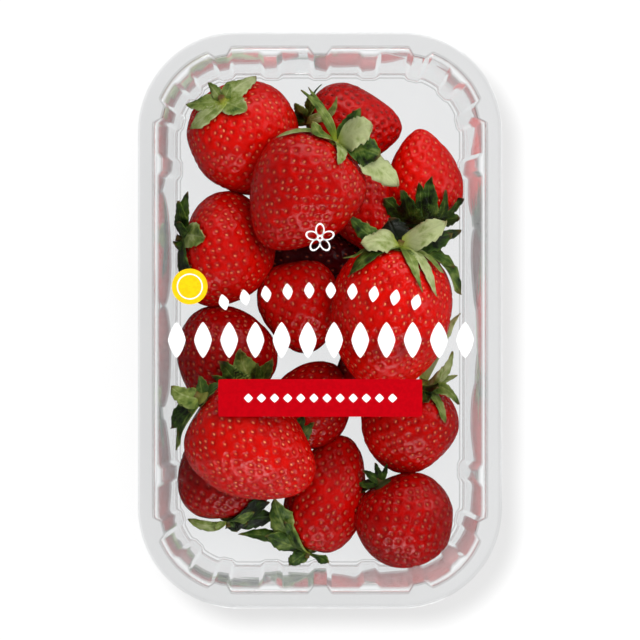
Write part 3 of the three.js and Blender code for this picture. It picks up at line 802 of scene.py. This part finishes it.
seed_ball, seed_ball_faces = ball_template(3, 6)
seed_points, seed_faces, seed_darkness, seed_total = [], [], [], 0
for index, (middle, size, turn, rise, taper, ripeness_and_shade, darkness) in enumerate(BERRIES):
    axes = berry_frame(turn, rise)
    rows = int(np.pi / 2 * (size[0] + size[1]) / 2 / SKIN_STEP)
    columns = int(np.pi * (size[1] + size[2]) / 2 / SKIN_STEP)
    angle = np.linspace(0, np.pi, rows + 2)[1:-1, None]
    around = np.linspace(0, 2 * np.pi, columns, endpoint=False)[None, :]
    grid_angle = np.broadcast_to(angle, (rows, columns))
    grid_around = np.broadcast_to(around, (rows, columns))
    points = berry_points(index, grid_angle, grid_around)
    normals, _ = surface_normals(index, grid_angle, grid_around)
    seed_angle, seed_around = seed_angles(index)
    seed_middle = berry_points(index, seed_angle, seed_around)
    seed_normal, seed_along = surface_normals(index, seed_angle, seed_around)
    flat_points = points.reshape(-1, 3)
    nearest = np.full(len(flat_points), 1e9)
    for part in np.array_split(np.arange(len(seed_middle)), 12):
        away = np.linalg.norm(flat_points[:, None, :] - seed_middle[None, part, :], axis=-1)
        nearest = np.minimum(nearest, away.min(axis=1))
    bowl = 0.5 + 0.5 * np.cos(np.pi * np.clip(nearest / PIT_RADIUS, 0, 1))
    shown = flat_points - PIT_DEPTH * bowl[:, None] * normals.reshape(-1, 3)
    poles = berry_points(index, np.array([0.0, np.pi]), np.zeros(2))
    shown = np.concatenate([shown, poles]) @ axes + middle
    count = rows * columns
    faces = [
        grid_faces(rows, columns, wrap=True),
        fan_faces(count, np.arange(columns), flip=True),
        fan_faces(count + 1, count - columns + np.arange(columns)),
    ]
    tip_share = np.concatenate([(grid_angle / np.pi).ravel(), [0, 1]])
    berry = mesh_object(
        f"berry_{index + 1:02d}", keep_in_tray(shown), faces, berry_skin,
        attributes={"pit": np.concatenate([bowl, [0, 0]]), "ripe": ripeness_and_shade, "tipward": tip_share},
    )
    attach(berry, "root")
    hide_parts("strawberries")

    across = np.cross(seed_along, seed_normal)
    uneven = np.sin(37.7 * np.arange(len(seed_middle)) + index)
    seed_half = SEED_HALF * (1 + 0.2 * uneven[:, None])
    basis = np.stack([across, seed_along, seed_normal], axis=1) * seed_half[..., None]
    sunk = seed_middle - (PIT_DEPTH - 0.12) * seed_normal
    seeds = np.einsum("vk,skj->svj", seed_ball, basis) + sunk[:, None, :]
    seeds = seeds.reshape(-1, 3) @ axes + middle
    starts = seed_total + np.arange(len(seed_middle))[:, None, None] * len(seed_ball)
    seed_faces += [(part[None] + starts).reshape(-1, part.shape[1]) for part in seed_ball_faces]
    seed_points.append(keep_in_tray(seeds))
    seed_darkness.append(np.repeat(darkness + 0.3 * uneven, len(seed_ball)))
    seed_total += len(seeds)

seeds = mesh_object(
    "berry_seeds", np.concatenate(seed_points), seed_faces, seed_skin,
    attributes={"dark": np.concatenate(seed_darkness)},
)
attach(seeds, "root")
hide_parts("strawberries")


# Calyxes: the green leaves at the stem end of a berry, grown from a small hub with the stump of
# the stem. Under each berry's number stand its leaves: the place of the tip, the breadth, how far
# the leaf bows up and sways sideways on the way there, and its tone, from 0, dark, to 1, pale,
# which is the leaf's own green and also painted shade on leaves that lie in shade between berries.
CALYXES = {
    0: [(-21.4, 81.3, 31, 8, 2.5, 1, 0.8), (-24.4, 69.4, 40, 8.4, 1, 0, 0.62),
        (-41.6, 63.8, 32, 8, 1.5, 1, 0.72), (-45, 72.4, 30, 6.6, 1.5, 0, 0.5),
        (-37.4, 79.6, 31, 4, 1.5, 0, 0.42), (-29.2, 79.8, 33, 5, 2, 0, 0.6)],
    1: [(5.6, 75, 31, 3, 5, -3, 0.6), (-2.5, 76.3, 27, 5, 3, 0, 0.2), (-8.5, 73, 24, 5, 2, 0, 0.3),
        (1.5, 78.5, 18, 5, 2, 0, 0.2), (-12, 69, 16, 5, 2, 0, 0.2)],
    2: [(-14, 59.6, 47, 3.6, 3.5, -2.5, 0.55), (-6.3, 76.5, 43, 3.4, 3, -2, 0.5),
        (-3.9, 77.6, 40, 3, 2, -1, 0.35), (-2.4, 66, 51, 5.5, 2, 1.5, 0.5),
        (5.6, 51, 54, 4.5, 0.5, 0, 0.6), (17.4, 64.4, 50, 11.5, 2, 1, 1.0),
        (20, 54.5, 46, 12, 1.5, 0.5, 0.2), (26, 44.6, 43, 12, 2.5, 1.5, 1.0),
        (13.5, 70.5, 42, 6, 1, 0, 0.2)],
    3: [(-44.3, 43, 31, 4.5, 1, 1, 0.12), (-47.6, 40, 29, 6, 1, 0, 0.12),
        (-38.6, 27.4, 38, 8.5, 2.5, 1, 0.5), (-48.6, 25, 27, 8, 1, 0, 0.15),
        (-45, 15.8, 29, 8.5, 1, 1, 0.1), (-47.5, 33, 31, 7, 2, 0, 0.15),
        (-40.5, 14.5, 31, 5, 1, 0, 0.25)],
    4: [(21.6, 41, 25, 9.5, 2, 1, 0.07), (37.6, 48, 31, 5.5, 0, 1, 0.22),
        (33.3, 46, 31, 4.5, 1, 0, 0.15), (48.6, 40.9, 23, 6.5, 2, 0, 0.12), (23, 33, 21, 9, 2, 0, 0.05),
        (47.2, 34.5, 20, 7, 2, 0, 0.1), (27, 43.5, 28, 7, 2, 0, 0.1), (42, 44, 26, 5, 1, 0, 0.15)],
    6: [(42, 32.6, 50, 10, 2.5, 0.5, 1.0), (14, 25, 50, 10.5, 3, -1.8, 0.9),
        (10, 34.6, 45, 7, 1, 2, 0.25), (7.6, 20.6, 46, 2.4, 1, 0, 0.35), (10, 13.6, 49, 7.5, 1, 1, 0.2),
        (33.6, 9, 55, 3.6, 1.5, -1, 0.42), (38.6, 7.8, 53, 4, 2.5, 1, 0.85),
        (41, 15.6, 48, 4, 2, 1, 0.6), (44, 28.7, 43, 10, 1, 0, 0.08), (47, 8.6, 40, 11, 1, 3, 0.3),
        (47.2, 29.8, 35, 7, 1, 0, 0.1), (44.8, 17.5, 42, 5.5, 1, 1.5, 0.3),
        (23, 33.5, 40, 11, 1, 0, -0.1)],
    8: [(-26.5, -9.9, 36, 8.4, 1, 1, 0.42), (-16, -13, 34, 6, 1, 0, 0.32),
        (-33.6, -14, 36, 7.5, 1, 0, 0.1), (-36.2, -18.6, 34, 5.5, 1, 0, 0.15),
        (-21, -14.5, 34, 5, 2, 0, 0.15)],
    9: [(-49.5, -22.4, 43, 7.5, 1.5, 1, 0.5), (-42.6, -31, 45, 6.5, 1, -1, 0.4),
        (-47.4, -27.5, 42, 5, 1, 0, 0.6), (-49.6, -36, 36, 8.5, 1, -1, 0.14),
        (-48.2, -43.5, 34, 9, 1, -2, 0.36), (-47, -38.5, 38, 8, 0.5, -1, 0.22),
        (-33, -21.2, 46, 5.5, 1, 0, 0.25), (-40, -18.8, 44, 5, 1, 0, 0.3),
        (-46.8, -38.5, 36, 3.6, 2, 0, 0.6), (-35.8, -29, 48, 5, 0, 0, 0.12)],
    10: [(-44.6, -67.4, 16, 5, 3, 2, 0.6), (-35.4, -70.6, 20, 4.4, 2, 0, 0.55),
        (-22.4, -64.6, 23, 5.4, 3, -1, 0.4), (-24.6, -68.6, 18, 6.5, 2, 0, 0.1),
        (-28, -71.6, 13, 6.5, 2, 0, 0.12), (-40.6, -71, 11, 5, 2, 0, 0.15),
        (-17, -61.6, 22, 8.5, 2, 0, 0.02), (-15.4, -66.6, 16, 8.5, 1, 0, 0.06),
        (-19, -58.6, 24, 8, 2, 0, 0.0)],
    11: [(-5.4, -32, 31, 5, 1, 0, 0.24), (-2, -34.6, 30, 4.4, 1, 0, 0.3), (-14, -38, 24, 5, 1, 0, 0.1)],
    12: [(46.6, -28.3, 30, 5, 4, 2.5, 0.42), (42, -34.4, 34, 4.4, 1.5, 1, 0.58),
        (39.5, -22.6, 35, 6, 1, 0, 0.1), (44.4, -10.5, 34, 3.8, 1, -2.5, 0.72),
        (40.8, -15.6, 36, 2.8, 2, -1.5, 0.7), (46.2, -18.6, 29, 3, 1, 0, 0.6),
        (47, 2.2, 32, 5.5, 0, 2, 0.95), (36, -27.5, 37, 5, 1, 0, 0.2)],
    13: [(12.6, -55.6, 19, 3.6, 2, 0, 0.08), (14.6, -50.6, 22, 3, 1, 0, 0.12),
        (18.6, -48.2, 23, 2.6, 1, 0, 0.06), (22.6, -48.6, 22, 2, 1, 0, 0.04),
        (13, -58.4, 16, 4, 2, 0, 0.06)],
    14: [(-15.1, -60, 26, 11.5, 1, 2.2, 0.4), (-27.6, -72.8, 12, 5.4, 4, -2, 0.25),
        (-18.4, -73, 19, 8.5, 2, 0, 0.28), (3, -82, 18, 5.5, 1, 0, 0.3),
        (-10.5, -83, 13, 6, 2, 0, 0.25), (-12, -68, 24, 6, 1, 0, 0.12)],
}
# The lower left berry's stem sits beside its own end, nearer the wall.
STEM_ENDS = {9: np.array([-38.8, -26.2, 46.0])}
LEAF_ROWS, LEAF_COLUMNS = 26, 9
LEAF_THICKNESS = 0.35
LEAF_LIFT = 0.7
SKIN_SWELL = 1.03
TEETH = 6
TOOTH_DEPTH = 0.2
WAVE, CUP = 0.09, 0.22

leaf_green, leaf_look = new_material("leaf_green")
leaf_place = leaf_look.own_place()
tone = leaf_look.attribute("tone")
leafwise = leaf_look.attribute("leafwise")
sideways = leaf_look.attribute("sideways")
mottle = leaf_look.noise(leaf_place, 420.0, 4.0)
blot = leaf_look.noise(leaf_place, 150.0, 2.0)
vein_wave = leaf_look.math("SINE", (leafwise * 9.0 - sideways * 2.6) * (2 * np.pi))
side_vein = vein_wave.rise(0.72, 1.0) * (1.0 - sideways.rise(0.55, 1.0))
middle_vein = 1.0 - sideways.rise(0.02, 0.16)
vein = leaf_look.math("MAXIMUM", side_vein * 0.5, middle_vein)
edge = sideways.rise(0.72, 1.0)
# A leaf's tone carries painted shade on leaves in shade; mottle, blots, veins and pale edges are its
# own colour.
shown_tone = tone + (mottle - 0.5) * 1.05 + (blot - 0.5) * 0.8 + vein * 0.16 + edge * 0.16
leaf_base = leaf_look.node(
    "ShaderNodeValToRGB",
    {"stops": [(0.0, srgb(10, 18, 3)), (0.3, srgb(52, 80, 16)), (0.62, srgb(118, 134, 60)),
               (1.0, srgb(172, 180, 128))]},
    {"Fac": shown_tone},
)
rooted = (1.0 - leafwise.rise(0.0, 0.3)) * tone.rise(0.0, 0.6) * 0.85
leaf_rooted = leaf_look.mix(rooted, leaf_base, srgb(160, 172, 40))
leaf_rim = leaf_look.mix(leafwise.rise(0.9, 1.0) * 0.5, leaf_rooted, srgb(118, 80, 44))
leaf_bump = leaf_look.bump(0.6, 0.0005, vein * -0.5 + mottle)
leaf_surface = leaf_look.principled(
    {"Base Color": leaf_rim, "Roughness": 0.5, "Normal": leaf_bump, "Specular IOR Level": 0.35}
)
leaf_look.finish(leaf_surface)

hub_skin, hub_look = new_material("hub_skin")
hub_place = hub_look.own_place()
stump = hub_look.attribute("stump")
hub_mottle = hub_look.noise(hub_place, 900.0, 3.0)
# The hub's green follows the mean tone of its leaves, painted shade included.
hub_tone = hub_look.attribute("tone")
hub_green = hub_look.mix(hub_tone.rise(0.1, 0.7), srgb(34, 44, 12), srgb(172, 176, 66))
hub_colour = hub_look.mix(stump.rise(0.35, 0.9), hub_green, srgb(104, 72, 32))
hub_shaded = hub_look.mix((hub_mottle - 0.3) * 0.6, hub_colour, srgb(92, 88, 30))
hub_surface = hub_look.principled({"Base Color": hub_shaded, "Roughness": 0.6})
hub_look.finish(hub_surface)


def push_out_of_berry(points, index, gap):
    """Points moved away from the middle of a berry until they are the gap outside its skin."""
    middle, size, turn, rise, taper, _, _ = BERRIES[index]
    axes = berry_frame(turn, rise)
    local = (points - middle) @ axes.T
    angle = np.linspace(0, np.pi, 200)
    radius, z = berry_profile(size, taper, angle)
    bearing = np.arctan2(radius, -z)
    distance = np.hypot(radius, z)
    order = np.argsort(bearing)
    across = np.hypot(local[:, 0], local[:, 1] * size[1] / size[2])
    own = np.maximum(np.hypot(across, local[:, 2]), 1e-6)
    own_bearing = np.arctan2(across, -local[:, 2])
    skin_distance = np.interp(own_bearing, bearing[order], distance[order]) * SKIN_SWELL + gap
    return (local * np.maximum(skin_distance / own, 1)[:, None]) @ axes + middle


def leaf_points(index, number, tip, breadth, bow, sway):
    """Points of a leaf: a quadratic curve from the hub to the tip, over a middle place that is
    lifted by the bow and set aside by the sway, and a half breadth that grows and runs out as a
    sine, rounder on a broad leaf, with small teeth, a cupped section and wavy edges."""
    middle, size, turn, climb, taper, _, _ = BERRIES[index]
    axes = berry_frame(turn, climb)
    hub = np.array(middle) + (berry_profile(size, taper, 0.0)[1] - LEAF_LIFT) * axes[2]
    hub = STEM_ENDS.get(index, hub)
    tip = np.array(tip, dtype=float)
    length = np.linalg.norm(tip - hub)
    aside = np.cross([0, 0, 1], tip - hub)
    aside /= np.linalg.norm(aside)
    lifted = (hub + tip) / 2 + 2 * bow * np.array([0, 0, 1]) + 2 * sway * aside
    along = np.linspace(0, 1, LEAF_ROWS)[:, None]
    line = (1 - along) ** 2 * hub + 2 * along * (1 - along) * lifted + along ** 2 * tip
    steps = 2 * (1 - along) * (lifted - hub) + 2 * along * (tip - lifted)
    steps /= np.linalg.norm(steps, axis=-1, keepdims=True)
    outward = line - middle
    outward /= np.linalg.norm(outward, axis=-1, keepdims=True)
    flank = np.cross(steps, outward + [0, 0, 1.6])
    flank /= np.linalg.norm(flank, axis=-1, keepdims=True)
    wander = np.sin(GOLDEN_TURN * number + 1.3 * index)
    roll = 0.4 * np.cos(3.1 * number + index) * along
    flank = np.cos(roll) * flank + np.sin(roll) * np.cross(flank, steps)
    upward = np.cross(flank, steps)
    roundness = 1.05 - 0.75 * min(breadth / length, 0.85)
    tooth = (along * TEETH + 0.3 * wander) % 1.0
    half = breadth / 2 * np.sin(np.pi * (0.1 + 0.9 * along)) ** roundness
    half = half * (1 - TOOTH_DEPTH * tooth * smooth_step((along - 0.35) / 0.2))
    side = np.linspace(-1, 1, LEAF_COLUMNS)
    ripple = np.sin(2 * np.pi * 1.4 * along + 3 * wander + 1.5 * side)
    lift = WAVE * breadth * ripple * side ** 2 - CUP * half * side ** 2
    points = (line[:, None] + flank[:, None] * (half * side)[..., None]
              + upward[:, None] * lift[..., None])
    return points.reshape(-1, 3)


leaf_parts, leaf_tones, leaf_faces = [], [], []
leaf_grid = grid_faces(LEAF_ROWS, LEAF_COLUMNS)
for index, leaves in CALYXES.items():
    for number, (x, y, z, breadth, bow, sway, leaf_tone_and_shade) in enumerate(leaves):
        blade = leaf_points(index, number, (x, y, z), breadth, bow, sway)
        leaf_faces.append(leaf_grid + len(leaf_parts) * len(blade))
        leaf_parts.append(keep_in_tray(push_out_of_berry(blade, index, LEAF_LIFT)))
        leaf_tones.append(np.full(len(blade), leaf_tone_and_shade))
leaf_along = np.repeat(np.linspace(0, 1, LEAF_ROWS), LEAF_COLUMNS)
leaf_aside = np.tile(np.abs(np.linspace(-1, 1, LEAF_COLUMNS)), LEAF_ROWS)
calyx_leaves = mesh_object(
    "calyx_leaves", np.concatenate(leaf_parts), leaf_faces, leaf_green,
    attributes={"leafwise": np.tile(leaf_along, len(leaf_parts)),
                "sideways": np.tile(leaf_aside, len(leaf_parts)),
                "tone": np.concatenate(leaf_tones)},
)
thicken = calyx_leaves.modifiers.new("thickness", "SOLIDIFY")
thicken.thickness = LEAF_THICKNESS * MM
thicken.offset = 0.0
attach(calyx_leaves, "root")
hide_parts("strawberries")

HUB_PROFILE = np.array([[0.4, -1.4], [3.0, -0.9], [3.1, 0.1], [2.4, 0.8], [1.5, 1.2], [1.15, 1.8],
                        [1.1, 2.6], [1.25, 3.0], [1.0, 3.2], [0.5, 3.1]])
HUB_SIDES = 14
hub_parts, stump_parts, hub_tones, hub_faces = [], [], [], []
hub_around = np.linspace(0, 2 * np.pi, HUB_SIDES, endpoint=False)
for index in CALYXES:
    middle, size, turn, rise, taper, _, _ = BERRIES[index]
    axes = berry_frame(turn, rise)
    uneven = 1 + 0.12 * np.sin(3 * hub_around + index)
    ring_x = HUB_PROFILE[:, :1] * (np.cos(hub_around) * uneven)
    ring_y = HUB_PROFILE[:, :1] * (np.sin(hub_around) * uneven)
    end = berry_profile(size, taper, 0.0)[1]
    ring_z = np.broadcast_to(end - HUB_PROFILE[:, 1:], ring_x.shape)
    rings = np.stack([ring_x, ring_y, ring_z], axis=-1).reshape(-1, 3)
    caps = np.array([[0, 0, end - HUB_PROFILE[0, 1]], [0, 0, end - HUB_PROFILE[-1, 1]]])
    start = len(hub_parts) * (len(rings) + 2)
    count = len(rings)
    hub_faces += [
        grid_faces(len(HUB_PROFILE), HUB_SIDES, wrap=True)[:, ::-1] + start,
        fan_faces(count, np.arange(HUB_SIDES)) + start,
        fan_faces(count + 1, count - HUB_SIDES + np.arange(HUB_SIDES), flip=True) + start,
    ]
    aside = STEM_ENDS.get(index, middle + end * axes[2]) - (middle + end * axes[2])
    hub_parts.append(keep_in_tray(np.concatenate([rings, caps]) @ axes + middle + aside))
    hub_tones.append(np.full(count + 2, np.mean([row[-1] for row in CALYXES[index]])))
    share = np.linspace(0, 1, len(HUB_PROFILE))
    stump_parts.append(np.concatenate([np.repeat(share, HUB_SIDES), [0, 1]]))
calyx_hubs = mesh_object(
    "calyx_hubs", np.concatenate(hub_parts), hub_faces, hub_skin,
    attributes={"stump": np.concatenate(stump_parts), "tone": np.concatenate(hub_tones)},
)
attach(calyx_hubs, "root")
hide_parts("strawberries")
